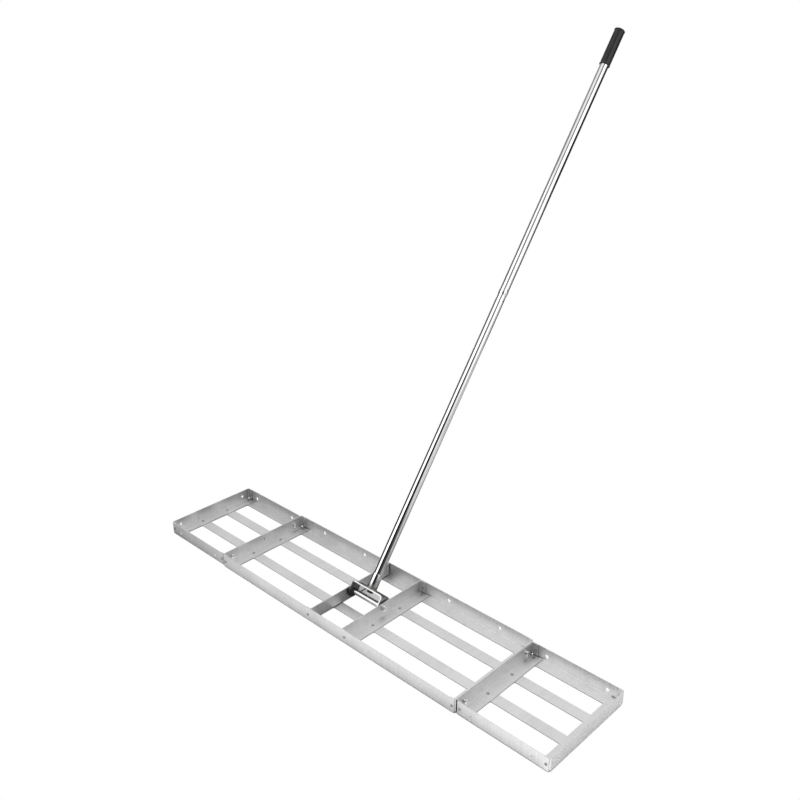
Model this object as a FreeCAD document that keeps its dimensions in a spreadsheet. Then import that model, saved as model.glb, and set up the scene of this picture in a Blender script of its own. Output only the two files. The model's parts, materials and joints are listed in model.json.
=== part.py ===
import FreeCAD, Part
import os
import re
import Sketcher
from FreeCAD import Placement, Rotation, Vector

# Lawn levelling rake: a folded stainless sheet head in three bolted sections, with a two-piece
# tubular pole on a yoke that tilts about an axle bolt.
# Millimetres. +X runs along the head, +Y from its front rail to its rear rail, +Z is up.
# The origin is on the ground under the middle of the head.

DIMENSIONS = [
    ("overall_length", 1219.2, "head, end to end"),
    ("centre_length", 765.6, "centre section, end to end"),
    ("wing_depth", 254, "wing section, front to rear"),
    ("centre_depth", 260, "centre section, front to rear"),
    ("wing_height", 33, "wing rails, ground to top edge"),
    ("centre_height", 34.5, "centre rails, ground to top edge"),
    ("sheet", 1.5, "thickness of the folded sheet"),
    ("flange", 29, "width of every horizontal flange"),
    ("bend_radius", 3, "outside radius of a fold"),
    ("end_gap", 3, "rails and slats stop this far short of a section's end"),
    ("slat_width", 27, "flat slat"),
    ("wing_slat_offset", 40, "wing slat centre line from the middle"),
    ("centre_slat_offset", 44, "centre slat centre line from the middle"),
    ("pivot_half_gap", 51.7, "middle of the head to a pivot bar's face"),
    ("tab_length", 17, "end tab of a cross bar"),
    ("tab_bottom", 5, "lower edge of an end tab above the ground"),
    ("tab_corner", 6, "rounded top corner of an end tab"),
    ("bar_relief", 3.5, "corner notch of a cross bar"),
    ("rail_hole_radius", 4.5, "fixing holes in the rails"),
    ("rail_hole_pitch", 150, "spacing of a pair of rail holes"),
    ("centre_hole_start", 141, "nearest centre rail hole to the middle"),
    ("wing_hole_height", 14, "wing rail holes above the ground"),
    ("centre_hole_height", 18.5, "centre rail holes above the ground"),
    ("end_hole_radius", 3.5, "open holes in the outer bars"),
    ("joint_hole_radius", 3.25, "bolted holes in the bars that meet at a joint"),
    ("end_hole_offset", 102, "both kinds from the middle"),
    ("end_hole_height", 16.5, "both kinds above the ground"),
    ("locating_hole_radius", 2, "hole at the middle of a centre end bar"),
    ("locating_hole_height", 20, "hole at the middle of a centre end bar"),
    ("rivet_radius", 2, "rivet shank"),
    ("rivet_hole_radius", 2.1, "rivet hole"),
    ("rivet_head_radius", 3.6, "rivet head"),
    ("rivet_head_height", 1, "rivet head"),
    ("rivet_tail_radius", 2.9, "closed end of a blind rivet"),
    ("rivet_tail_length", 2.2, "closed end of a blind rivet"),
    ("rivet_tail_bevel", 0.6, "height of the bevel round a blind rivet's closed end"),
    ("rivet_crown", 0.7, "bevel of a rivet's head and closed end starts at this share of its radius"),
    ("mandrel_radius", 1.2, "hole left by the rivet's mandrel"),
    ("tab_rivet_inset", 9, "tab rivet from the bar's face"),
    ("tab_rivet_height", 16, "tab rivet above the ground"),
    ("corner_rivet_inset", 13, "corner rivet from both edges"),
    ("slat_rivet_inset", 12, "slat rivet from the bar's face"),
    ("joint_bolt_radius", 3, "M6 bolt between two sections"),
    ("joint_bolt_length", 16, "M6 bolt under its head"),
    ("joint_hex_flats", 10, "M6 across flats"),
    ("joint_head_height", 4, "M6 bolt head"),
    ("joint_nut_height", 5, "M6 nut"),
    ("joint_washer_radius", 6, "M6 washer"),
    ("joint_washer_thickness", 1.2, "M6 washer"),
    ("axle_height", 22, "axle above the ground"),
    ("axle_radius", 4, "M8 axle bolt"),
    ("axle_length", 120, "M8 axle bolt under its head"),
    ("axle_clearance", 0.05, "running clearance on the axle"),
    ("axle_hole_radius", 4.2, "axle hole in a pivot bar"),
    ("axle_hex_flats", 13, "M8 across flats"),
    ("axle_head_height", 5.3, "M8 bolt head"),
    ("axle_nut_height", 6.4, "M8 nut"),
    ("axle_collar_height", 1.8, "locking collar of the axle nut"),
    ("collar_share", 0.9, "collar radius over half the nut's width across flats"),
    ("hex_bevel", 0.15, "height of a hex corner's bevel over half the width across flats"),
    ("hex_clear", 1.3, "a tool outside the corners, over half the width across flats"),
    ("axle_washer_radius", 8, "M8 washer"),
    ("axle_washer_thickness", 1.6, "M8 washer"),
    ("side_play", 0.15, "yoke to spacer washer, each side"),
    ("nut_clearance", 0.03, "plain bore over the thread it stands for"),
    ("sleeve_radius", 6.35, "sleeve round the axle bolt"),
    ("yoke_half_width", 48, "middle of the yoke to an ear's outer face"),
    ("yoke_sheet", 3, "thickness of the yoke"),
    ("yoke_depth", 30, "width of the yoke's strip"),
    ("yoke_top", 24.5, "axle to the yoke's outer web face"),
    ("yoke_bend_radius", 7, "outside radius of the yoke's fold"),
    ("web_hole_radius", 4.2, "hole for the socket bolt"),
    ("socket_radius", 12.7, "socket, outside"),
    ("socket_bore_radius", 11.1, "socket, inside"),
    ("socket_top", 62.4, "axle to the socket's rim"),
    ("weld_leg", 2.2, "fillet weld round the socket"),
    ("weld_throat", 0.4, "the weld's hollow middle, in legs from its root"),
    ("socket_bolt_length", 24, "M8 bolt under the web"),
    ("pole_radius", 11, "both tubes, outside"),
    ("pole_wall", 1.2, "both tubes"),
    ("pole_joint", 785, "axle to the seam between the tubes"),
    ("pole_top", 1500.6, "axle to the top of the upper tube"),
    ("swage_radius", 10.7, "narrowed end of the lower tube"),
    ("bell_radius", 11.4, "widened end of the upper tube"),
    ("bell_length", 14, "length of both formed ends"),
    ("bell_slope", 1, "part of a formed end that narrows or widens"),
    ("insert_radius", 9.75, "plugs inside the tubes"),
    ("insert_length", 30, "plugs inside the tubes"),
    ("stud_radius", 6, "threaded stud that joins the tubes"),
    ("stud_length", 24, "part of the stud that screws in"),
    ("stud_bevel", 1, "bevelled end of the stud"),
    ("grip_bottom", 1405.6, "axle to the grip's lower rim"),
    ("grip_top", 1502.6, "axle to the grip's closed end"),
    ("grip_radius", 13, "rubber grip"),
    ("grip_rim_radius", 13.8, "rolled rim of the grip"),
    ("grip_rim_width", 3, "rolled rim of the grip"),
    ("handle_lean", 53.4, "pole above the horizontal, degrees"),
]

doc = FreeCAD.newDocument("LevellingRake")
sheet = doc.addObject("Spreadsheet::Sheet", "Dimensions")
for row, (alias, number, note) in enumerate(DIMENSIONS, start=1):
    sheet.set(f"A{row}", alias)
    sheet.set(f"B{row}", str(number))
    sheet.set(f"C{row}", note)
    sheet.setAlias(f"B{row}", alias)
doc.recompute()
ALIASES = {alias for alias, _, _ in DIMENSIONS}

Z_UP = Rotation()
Z_TO_X = Rotation(Vector(0, 1, 0), 90)
Z_TO_MINUS_X = Rotation(Vector(0, 1, 0), -90)
Z_TO_Y = Rotation(Vector(1, 0, 0), -90)
Z_TO_MINUS_Y = Rotation(Vector(1, 0, 0), 90)
HALF_TURN = Rotation(Vector(0, 0, 1), 180)

sub_parts = []


# ---- expressions ---------------------------------------------------------------------------

def value(expression):
    """The number that an expression in the sheet's aliases stands for now."""
    return float(sheet.evalExpression(expression))


def bind(obj, path, expression):
    """Tie a property to the sheet."""
    linked = re.sub(r"[a-z_]+", lambda word: name_in_sheet(word.group()), expression)
    obj.setExpression(path, linked)


def name_in_sheet(word):
    return f"Dimensions.{word}" if word in ALIASES else word


def place(obj, x="0", y="0", z="0", rotation=Z_UP):
    """Put an object where three expressions say, turned by a fixed rotation."""
    obj.Placement = Placement(Vector(value(x), value(y), value(z)), rotation)
    for axis, expression in zip("xyz", (x, y, z)):
        bind(obj, f"Placement.Base.{axis}", expression)


# ---- sketches and features -----------------------------------------------------------------

def new_body(label):
    body = doc.addObject("PartDesign::Body", label)
    body.Label = label
    return body


def new_sketch(body, plane, offset="0"):
    """A sketch on one of the body's own origin planes, lifted off it by an offset."""
    sketch = body.newObject("Sketcher::SketchObject", f"{body.Name}_sketch")
    support = next(item for item in body.Origin.OriginFeatures if item.Role == plane)
    sketch.AttachmentSupport = [(support, "")]
    sketch.MapMode = "FlatFace"
    bind(sketch, "AttachmentOffset.Base.z", offset)
    return sketch


def fix_point(sketch, geometry, point, x, y):
    """Hold a point of the sketch at two bound coordinates."""
    for kind, axis, expression in (("DistanceX", -2, x), ("DistanceY", -1, y)):
        if expression == "0":
            sketch.addConstraint(Sketcher.Constraint("PointOnObject", geometry, point, axis))
            continue
        distance = Sketcher.Constraint(kind, -1, 1, geometry, point, value(expression))
        index = sketch.addConstraint(distance)
        bind(sketch, f"Constraints[{index}]", expression)


def add_polygon(sketch, corners):
    """A closed outline through corners given as pairs of expressions."""
    points = [Vector(value(x), value(y), 0) for x, y in corners]
    count = len(points)
    for index in range(count):
        sketch.addGeometry(Part.LineSegment(points[index], points[(index + 1) % count]), False)
    for index in range(count):
        following = (index + 1) % count
        sketch.addConstraint(Sketcher.Constraint("Coincident", index, 2, following, 1))
    for index, (x, y) in enumerate(corners):
        fix_point(sketch, index, 1, x, y)


def add_circle(sketch, x, y, radius):
    centre = Vector(value(x), value(y), 0)
    circle = Part.Circle(centre, Vector(0, 0, 1), value(radius))
    geometry = sketch.addGeometry(circle, False)
    fix_point(sketch, geometry, 3, x, y)
    index = sketch.addConstraint(Sketcher.Constraint("Radius", geometry, value(radius)))
    bind(sketch, f"Constraints[{index}]", radius)


def add_pad(body, sketch, length, side="One side", reverse=False):
    pad = body.newObject("PartDesign::Pad", f"{body.Name}_pad")
    pad.Profile = sketch
    pad.SideType = side
    pad.Reversed = reverse
    bind(pad, "Length", length)
    doc.recompute()
    return pad


def cut_through(body, plane, circles):
    """Drill round holes right through the body, square to one of its origin planes."""
    before = body.Shape.Volume
    sketch = new_sketch(body, plane)
    for x, y, radius in circles:
        add_circle(sketch, x, y, radius)
    pocket = body.newObject("PartDesign::Pocket", f"{body.Name}_holes")
    pocket.Profile = sketch
    pocket.Type = "ThroughAll"
    pocket.SideType = "Symmetric"
    doc.recompute()
    if body.Shape.Volume >= before:
        raise RuntimeError(f"{body.Label}: the holes cut nothing")


def revolve(body, corners, kind="PartDesign::Revolution"):
    """Turn an outline in the XZ plane about the body's Z axis, to add or to cut."""
    sketch = new_sketch(body, "XZ_Plane")
    add_polygon(sketch, corners)
    feature = body.newObject(kind, f"{body.Name}_turned")
    feature.Profile = sketch
    feature.ReferenceAxis = (sketch, ["V_Axis"])
    feature.Angle = 360
    doc.recompute()
    return feature


def edges_through(feature, points):
    """Names of the feature's edges that pass through the given points."""
    names = []
    for x, y, z in points:
        vertex = Part.Vertex(value(x), value(y), value(z))
        gaps = [edge.distToShape(vertex)[0] for edge in feature.Shape.Edges]
        names.append(f"Edge{gaps.index(min(gaps)) + 1}")
    return names


def round_edges(body, radius, points):
    base = body.Tip
    fillet = body.newObject("PartDesign::Fillet", f"{body.Name}_round")
    fillet.Base = (base, edges_through(base, points))
    bind(fillet, "Radius", radius)
    doc.recompute()


def keep(obj):
    """List an object as a sub-part to be written out."""
    sub_parts.append(obj)
    return obj


# ---- folded sheet --------------------------------------------------------------------------

INNER_BEND = "bend_radius - sheet"


def make_rail(label, length, depth, height, x, side, wall_holes, rivet_insets):
    """An angle along X: upright wall outside, flat flange inside, on the ground.

    wall_holes are (x, z, radius); rivet_insets are the rivets' places along the rail.
    """
    body = new_body(label)
    sketch = new_sketch(body, "YZ_Plane")
    add_polygon(sketch, [
        ("0", "0"), ("flange", "0"), ("flange", "sheet"),
        ("sheet", "sheet"), ("sheet", height), ("0", height)])
    add_pad(body, sketch, f"{length} - 2 * end_gap", side="Symmetric")
    round_edges(body, "bend_radius", [("0", "0", "0")])
    round_edges(body, INNER_BEND, [("0", "sheet", "sheet")])
    cut_through(body, "XZ_Plane", wall_holes)
    cut_through(body, "XY_Plane", [
        (inset, "corner_rivet_inset", "rivet_hole_radius") for inset in rivet_insets])
    if side == "front":
        place(body, x, f"-{depth} / 2")
    else:
        place(body, x, f"{depth} / 2", rotation=HALF_TURN)
    return keep(body)


def make_cross_bar(label, depth, height, slat_offset, x, towards_plus_x, wall_holes):
    """An angle along Y with an end tab at each rail; its flange lies on slats and rails.

    wall_holes are (y, z, radius) in the upright wall.
    """
    reach = f"({depth} / 2 - sheet)"
    body = new_body(label)
    profile = new_sketch(body, "XZ_Plane")
    add_polygon(profile, [
        ("0", "sheet"), ("flange", "sheet"), ("flange", "2 * sheet"),
        ("sheet", "2 * sheet"), ("sheet", height), ("0", height)])
    add_pad(body, profile, f"2 * ({reach} - bar_relief)", side="Symmetric")

    plan = new_sketch(body, "XY_Plane", "tab_bottom")
    add_polygon(plan, [
        ("0", f"-{reach}"), ("tab_length", f"-{reach}"), ("tab_length", f"sheet - {reach}"),
        ("sheet", f"sheet - {reach}"), ("sheet", f"{reach} - sheet"),
        ("tab_length", f"{reach} - sheet"), ("tab_length", reach), ("0", reach)])
    add_pad(body, plan, f"{height} - tab_bottom")

    middle = f"({height} + tab_bottom) / 2"
    ends = (f"-{reach}", reach)
    inner_ends = (f"sheet - {reach}", f"{reach} - sheet")
    round_edges(body, "bend_radius", [("0", "0", "sheet")])
    round_edges(body, INNER_BEND, [("sheet", "0", "2 * sheet")])
    round_edges(body, "bend_radius", [("0", end, middle) for end in ends])
    round_edges(body, INNER_BEND, [("sheet", end, middle) for end in inner_ends])
    round_edges(body, "tab_corner", [
        ("tab_length", f"({end} + {inner}) / 2", height)
        for end, inner in zip(ends, inner_ends)])

    cut_through(body, "YZ_Plane", wall_holes)
    cut_through(body, "XZ_Plane", [
        ("tab_rivet_inset", "tab_rivet_height", "rivet_hole_radius")])
    corner = f"({depth} / 2 - corner_rivet_inset)"
    cut_through(body, "XY_Plane", [
        ("slat_rivet_inset", slat_offset, "rivet_hole_radius"),
        ("slat_rivet_inset", f"-{slat_offset}", "rivet_hole_radius"),
        ("corner_rivet_inset", corner, "rivet_hole_radius"),
        ("corner_rivet_inset", f"-{corner}", "rivet_hole_radius")])
    place(body, x, rotation=Z_UP if towards_plus_x else HALF_TURN)
    return keep(body)


def make_slat(label, length, x, y, rivet_places):
    """A flat strip along X on the ground, under the cross bars' flanges."""
    body = new_body(label)
    sketch = new_sketch(body, "XY_Plane")
    half_length = f"({length} / 2 - end_gap)"
    add_polygon(sketch, [
        (f"-{half_length}", "-slat_width / 2"), (half_length, "-slat_width / 2"),
        (half_length, "slat_width / 2"), (f"-{half_length}", "slat_width / 2")])
    for place_along in rivet_places:
        add_circle(sketch, place_along, "0", "rivet_hole_radius")
    add_pad(body, sketch, "sheet")
    place(body, x, y)
    return keep(body)


def both_signs(expression):
    return [f"-{expression}", expression]


JOINT = "(centre_length / 2)"
WING_LENGTH = "((overall_length - centre_length) / 2)"
WING_MIDDLE = "((overall_length + centre_length) / 4)"
OUTER_END = "(overall_length / 2)"
JOINT_HOLES = [(y, "end_hole_height", "joint_hole_radius") for y in both_signs("end_hole_offset")]
OUTER_HOLES = [(y, "end_hole_height", "end_hole_radius") for y in both_signs("end_hole_offset")]
SIDES = (("front", "-"), ("rear", ""))


def make_centre_section():
    tab_rivets = [*both_signs(f"({JOINT} - tab_rivet_inset)"),
                  *both_signs("(pivot_half_gap + tab_rivet_inset)")]
    corner_rivets = [*both_signs(f"({JOINT} - corner_rivet_inset)"),
                     *both_signs("(pivot_half_gap + corner_rivet_inset)")]
    slat_rivets = [*both_signs(f"({JOINT} - slat_rivet_inset)"),
                   *both_signs("(pivot_half_gap + slat_rivet_inset)")]
    fixing_holes = [*both_signs("centre_hole_start"),
                    *both_signs("(centre_hole_start + rail_hole_pitch)")]
    wall_holes = [(x, "centre_hole_height", "rail_hole_radius") for x in fixing_holes]
    wall_holes += [(x, "tab_rivet_height", "rivet_hole_radius") for x in tab_rivets]
    for side, sign in SIDES:
        make_rail(f"centre_{side}_rail", "centre_length", "centre_depth", "centre_height",
                  "0", side, wall_holes, corner_rivets)
        make_slat(f"centre_{side}_slat", "centre_length", "0", f"{sign}centre_slat_offset",
                  slat_rivets)

    end_holes = JOINT_HOLES + [("0", "locating_hole_height", "locating_hole_radius")]
    axle_hole = [("0", "axle_height", "axle_hole_radius")]
    bars = [
        ("centre_left_end_bar", f"-{JOINT}", True, end_holes),
        ("left_pivot_bar", "-pivot_half_gap", False, axle_hole),
        ("right_pivot_bar", "pivot_half_gap", True, axle_hole),
        ("centre_right_end_bar", JOINT, False, end_holes)]
    for label, x, towards_plus_x, holes in bars:
        make_cross_bar(label, "centre_depth", "centre_height", "centre_slat_offset",
                       x, towards_plus_x, holes)


def make_wing(name, sign, is_right):
    middle = f"{sign}{WING_MIDDLE}"
    half = f"({WING_LENGTH} / 2)"
    wall_holes = [(x, "wing_hole_height", "rail_hole_radius")
                  for x in both_signs("(rail_hole_pitch / 2)")]
    wall_holes += [(x, "tab_rivet_height", "rivet_hole_radius")
                   for x in both_signs(f"({half} - tab_rivet_inset)")]
    for side, y_sign in SIDES:
        make_rail(f"{name}_{side}_rail", WING_LENGTH, "wing_depth", "wing_height", middle, side,
                  wall_holes, both_signs(f"({half} - corner_rivet_inset)"))
        make_slat(f"{name}_{side}_slat", WING_LENGTH, middle, f"{y_sign}wing_slat_offset",
                  both_signs(f"({half} - slat_rivet_inset)"))
    for bar, x, towards_plus_x, holes in (("inner_bar", JOINT, is_right, JOINT_HOLES),
                                          ("outer_bar", OUTER_END, not is_right, OUTER_HOLES)):
        make_cross_bar(f"{name}_{bar}", "wing_depth", "wing_height", "wing_slat_offset",
                       f"{sign}{x}", towards_plus_x, holes)


# ---- fasteners -----------------------------------------------------------------------------

def make_flush_rivet():
    """Holds two sheets flat on the ground: head above, flush below."""
    body = new_body("flush_rivet")
    top = "(2 * sheet + rivet_head_height)"
    revolve(body, [
        ("0", "0"), ("rivet_radius", "0"), ("rivet_radius", "2 * sheet"),
        ("rivet_head_radius", "2 * sheet"),
        ("rivet_head_radius", "2 * sheet + rivet_head_height / 3"),
        ("rivet_head_radius * rivet_crown", top), ("mandrel_radius", top),
        ("mandrel_radius", "2 * sheet"), ("0", "2 * sheet")])
    return body


def make_blind_rivet():
    """Holds a tab to a rail: head at the outer face, closed end inside, along +Z."""
    body = new_body("blind_rivet")
    tail_end = "(2 * sheet + rivet_tail_length)"
    revolve(body, [
        ("0", "0"), ("mandrel_radius", "0"), ("mandrel_radius", "-rivet_head_height"),
        ("rivet_head_radius * rivet_crown", "-rivet_head_height"),
        ("rivet_head_radius", "-rivet_head_height / 3"), ("rivet_head_radius", "0"),
        ("rivet_radius", "0"), ("rivet_radius", "2 * sheet"),
        ("rivet_tail_radius", "2 * sheet"),
        ("rivet_tail_radius", f"{tail_end} - rivet_tail_bevel"),
        ("rivet_tail_radius * rivet_crown", tail_end), ("0", tail_end)])
    return body


def hexagon_corners(flats):
    half = f"({flats} / 2)"
    short = f"({half} / sqrt(3))"
    return [(f"2 * {short}", "0"), (short, half), (f"-{short}", half),
            (f"-2 * {short}", "0"), (f"-{short}", f"-{half}"), (short, f"-{half}")]


def add_hexagon(body, flats, height):
    """A hexagonal prism from z = 0 up, with its top corners turned off."""
    sketch = new_sketch(body, "XY_Plane")
    add_polygon(sketch, hexagon_corners(flats))
    add_pad(body, sketch, height)
    half = f"({flats} / 2)"
    outside = f"(hex_clear * {half})"
    revolve(body, [(half, height), (outside, height),
                   (outside, f"{height} - hex_bevel * {half}")], "PartDesign::Groove")


def make_bolt(label, flats, head_height, radius, length):
    """A hex bolt: head from z = 0 up, shank from z = 0 down with a chamfered end."""
    body = new_body(label)
    add_hexagon(body, flats, head_height)
    shank = new_sketch(body, "XY_Plane")
    add_circle(shank, "0", "0", radius)
    add_pad(body, shank, length, reverse=True)
    base = body.Tip
    chamfer = body.newObject("PartDesign::Chamfer", f"{label}_chamfer")
    chamfer.Base = (base, edges_through(base, [("0", radius, f"-{length}")]))
    bind(chamfer, "Size", f"{radius} / 6")
    doc.recompute()
    return body


def make_nut(label, flats, height, radius, collar_height=None):
    """A hex nut with a plain bore, and a round locking collar if it has one."""
    body = new_body(label)
    add_hexagon(body, flats, height)
    if collar_height:
        collar = new_sketch(body, "XY_Plane", height)
        add_circle(collar, "0", "0", f"collar_share * {flats} / 2")
        add_pad(body, collar, collar_height)
    cut_through(body, "XY_Plane", [("0", "0", f"{radius} + nut_clearance")])
    return body


def make_ring(label, outer, inner, thickness, offset="0"):
    """A flat ring or a tube along Z."""
    body = new_body(label)
    sketch = new_sketch(body, "XY_Plane", offset)
    add_circle(sketch, "0", "0", outer)
    add_circle(sketch, "0", "0", inner)
    add_pad(body, sketch, thickness)
    return body


def make_group(label, master, places):
    """One sub-part of several equal pieces: places are (x, y, z, rotation)."""
    group = doc.addObject("Part::Compound", label)
    group.Label = label
    links = []
    for x, y, z, rotation in places:
        link = doc.addObject("App::Link", f"{label}_piece")
        link.LinkedObject = master
        place(link, x, y, z, rotation)
        links.append(link)
    group.Links = links
    doc.recompute()
    return keep(group)


def rivet_section(name, depth, slat_offset, bars):
    """The rivets of one section; bars are (x of the bar's face, sign of its flange)."""
    slat_places, corner_places, tab_places = [], [], []
    for face, sign in bars:
        for y in both_signs(slat_offset):
            slat_places.append((f"{face} {sign} slat_rivet_inset", y, "0", Z_UP))
        for y in both_signs(f"({depth} / 2 - corner_rivet_inset)"):
            corner_places.append((f"{face} {sign} corner_rivet_inset", y, "0", Z_UP))
        tab_x = f"{face} {sign} tab_rivet_inset"
        tab_places.append((tab_x, f"-{depth} / 2", "tab_rivet_height", Z_TO_Y))
        tab_places.append((tab_x, f"{depth} / 2", "tab_rivet_height", Z_TO_MINUS_Y))
    make_group(f"{name}_slat_rivets", flush_rivet, slat_places)
    make_group(f"{name}_corner_rivets", flush_rivet, corner_places)
    make_group(f"{name}_tab_rivets", blind_rivet, tab_places)


def bolt_joint(name, sign):
    """Two bolts through the back-to-back end bars of the centre section and a wing."""
    joint = f"{sign}{JOINT}"
    washer_face = f"{joint} + sheet"
    head_face = f"{washer_face} + joint_washer_thickness"
    nut_face = f"{joint} - sheet"
    rows = both_signs("end_hole_offset")
    make_group(f"{name}_joint_washers", joint_washer, [
        (washer_face, y, "end_hole_height", Z_TO_X) for y in rows])
    make_group(f"{name}_joint_bolts", joint_bolt, [
        (head_face, y, "end_hole_height", Z_TO_X) for y in rows])
    make_group(f"{name}_joint_nuts", joint_nut, [
        (nut_face, y, "end_hole_height", Z_TO_MINUS_X) for y in rows])


def make_axle():
    """The axle bolt with its nut and washers, square to the pivot bars."""
    bar_face = "(pivot_half_gap + sheet)"
    seat = f"({bar_face} + axle_washer_thickness)"
    bolt = make_bolt("axle_bolt", "axle_hex_flats", "axle_head_height", "axle_radius",
                     "axle_length")
    place(keep(bolt), seat, "0", "axle_height", Z_TO_X)
    nut = make_nut("axle_nut", "axle_hex_flats", "axle_nut_height", "axle_radius",
                   "axle_collar_height")
    place(keep(nut), f"-{seat}", "0", "axle_height", Z_TO_MINUS_X)
    washer = make_ring("axle_washer", "axle_washer_radius", "axle_hole_radius",
                       "axle_washer_thickness")
    make_group("axle_outer_washers", washer, [
        (bar_face, "0", "axle_height", Z_TO_X),
        (f"-{bar_face}", "0", "axle_height", Z_TO_MINUS_X)])
    spacer = make_ring("axle_spacer", "axle_washer_radius", "axle_hole_radius",
                       "pivot_half_gap - yoke_half_width - side_play")
    spacer_face = "(yoke_half_width + side_play)"
    make_group("axle_spacer_washers", spacer, [
        (spacer_face, "0", "axle_height", Z_TO_X),
        (f"-{spacer_face}", "0", "axle_height", Z_TO_MINUS_X)])


# ---- handle: built about the axle with Z along the pole, then leaned back -------------------

def lean(body):
    """Stand a handle piece on the axle at the pole's resting angle."""
    tilt = "90 - handle_lean"
    rotation = Rotation(Vector(-1, 0, 0), value(tilt))
    place(body, z="axle_height", rotation=rotation)
    bind(body, "Placement.Rotation.Angle", tilt)
    return keep(body)


def make_yoke():
    """A strip folded into a U: two round-ended ears on the axle and a web under the socket."""
    body = new_body("yoke_bracket")
    side = new_sketch(body, "YZ_Plane")
    half_depth = "yoke_depth / 2"
    add_polygon(side, [
        (f"-{half_depth}", "0"), (half_depth, "0"),
        (half_depth, "yoke_top"), (f"-{half_depth}", "yoke_top")])
    add_pad(body, side, "2 * yoke_half_width", side="Symmetric")
    ear_ends = new_sketch(body, "YZ_Plane")
    add_circle(ear_ends, "0", "0", half_depth)
    add_pad(body, ear_ends, "2 * yoke_half_width", side="Symmetric")

    inside = new_sketch(body, "XZ_Plane")
    inner_half = "(yoke_half_width - yoke_sheet)"
    inner_top = "(yoke_top - yoke_sheet)"
    add_polygon(inside, [
        (f"-{inner_half}", "-yoke_depth"), (inner_half, "-yoke_depth"),
        (inner_half, inner_top), (f"-{inner_half}", inner_top)])
    gap = body.newObject("PartDesign::Pocket", "yoke_gap")
    gap.Profile = inside
    gap.Type = "ThroughAll"
    gap.SideType = "Symmetric"
    doc.recompute()

    round_edges(body, "yoke_bend_radius", [(x, "0", "yoke_top")
                                           for x in both_signs("yoke_half_width")])
    round_edges(body, "yoke_bend_radius - yoke_sheet", [(x, "0", inner_top)
                                                        for x in both_signs(inner_half)])
    cut_through(body, "YZ_Plane", [("0", "0", "axle_radius + axle_clearance")])
    cut_through(body, "XY_Plane", [("0", "0", "web_hole_radius")])
    lean(body)


def make_weld():
    body = new_body("socket_weld")
    revolve(body, [
        ("socket_radius", "yoke_top"), ("socket_radius + weld_leg", "yoke_top"),
        ("socket_radius + weld_throat * weld_leg", "yoke_top + weld_throat * weld_leg"),
        ("socket_radius", "yoke_top + weld_leg")])
    lean(body)


def make_tube(label, bottom, top, formed_radius, formed_end):
    """A round tube along the pole with one end swaged in or belled out for the seam."""
    plain_bore = "(pole_radius - pole_wall)"
    if formed_end == "top":
        outside = [("pole_radius", bottom), ("pole_radius", f"{top} - bell_length"),
                   (formed_radius, f"{top} - bell_length + bell_slope"), (formed_radius, top)]
    else:
        outside = [(formed_radius, bottom),
                   (formed_radius, f"{bottom} + bell_length - bell_slope"),
                   ("pole_radius", f"{bottom} + bell_length"), ("pole_radius", top)]
    body = new_body(label)
    revolve(body, [(plain_bore, bottom), *outside, (plain_bore, top)])
    lean(body)


def make_pole():
    lean(make_ring("handle_socket", "socket_radius", "socket_bore_radius",
                   "socket_top - yoke_top", "yoke_top"))
    make_weld()
    make_tube("lower_tube", "yoke_top", "pole_joint", "swage_radius", "top")
    make_tube("upper_tube", "pole_joint", "pole_top", "bell_radius", "bottom")

    bolt_seat = "(yoke_top - yoke_sheet - axle_washer_thickness)"
    washer = make_ring("socket_washer", "axle_washer_radius", "web_hole_radius",
                       "axle_washer_thickness", bolt_seat)
    lean(washer)
    bolt = new_body("socket_bolt")
    head = new_sketch(bolt, "XY_Plane", bolt_seat)
    add_polygon(head, hexagon_corners("axle_hex_flats"))
    add_pad(bolt, head, "axle_head_height", reverse=True)
    shank = new_sketch(bolt, "XY_Plane", bolt_seat)
    add_circle(shank, "0", "0", "axle_radius")
    add_pad(bolt, shank, "socket_bolt_length")
    lean(bolt)

    lean(make_ring("lower_insert", "insert_radius", "axle_radius + nut_clearance",
                   "insert_length", "yoke_top"))
    lean(make_ring("upper_insert", "insert_radius", "stud_radius + nut_clearance",
                   "insert_length", "pole_joint"))
    stud = new_body("pole_stud")
    revolve(stud, [
        ("0", "pole_joint - insert_length"), ("insert_radius", "pole_joint - insert_length"),
        ("insert_radius", "pole_joint"), ("stud_radius", "pole_joint"),
        ("stud_radius", "pole_joint + stud_length - stud_bevel"),
        ("stud_radius - stud_bevel", "pole_joint + stud_length"),
        ("0", "pole_joint + stud_length")])
    lean(stud)


def make_grip():
    """A rubber grip with a closed end and a rolled rim at each end."""
    body = new_body("handle_grip")
    revolve(body, [
        ("0", "pole_top"), ("pole_radius", "pole_top"), ("pole_radius", "grip_bottom"),
        ("grip_rim_radius", "grip_bottom"), ("grip_rim_radius", "grip_bottom + grip_rim_width"),
        ("grip_radius", "grip_bottom + 1.5 * grip_rim_width"),
        ("grip_radius", "grip_top - 1.5 * grip_rim_width"),
        ("grip_rim_radius", "grip_top - grip_rim_width"), ("grip_rim_radius", "grip_top"),
        ("0", "grip_top")])
    lean(body)


# ---- build ---------------------------------------------------------------------------------

make_centre_section()
make_wing("left_wing", "-", False)
make_wing("right_wing", "", True)

flush_rivet = make_flush_rivet()
blind_rivet = make_blind_rivet()
joint_bolt = make_bolt("joint_bolt", "joint_hex_flats", "joint_head_height",
                       "joint_bolt_radius", "joint_bolt_length")
joint_nut = make_nut("joint_nut", "joint_hex_flats", "joint_nut_height", "joint_bolt_radius")
joint_washer = make_ring("joint_washer", "joint_washer_radius", "joint_hole_radius",
                         "joint_washer_thickness")

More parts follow.
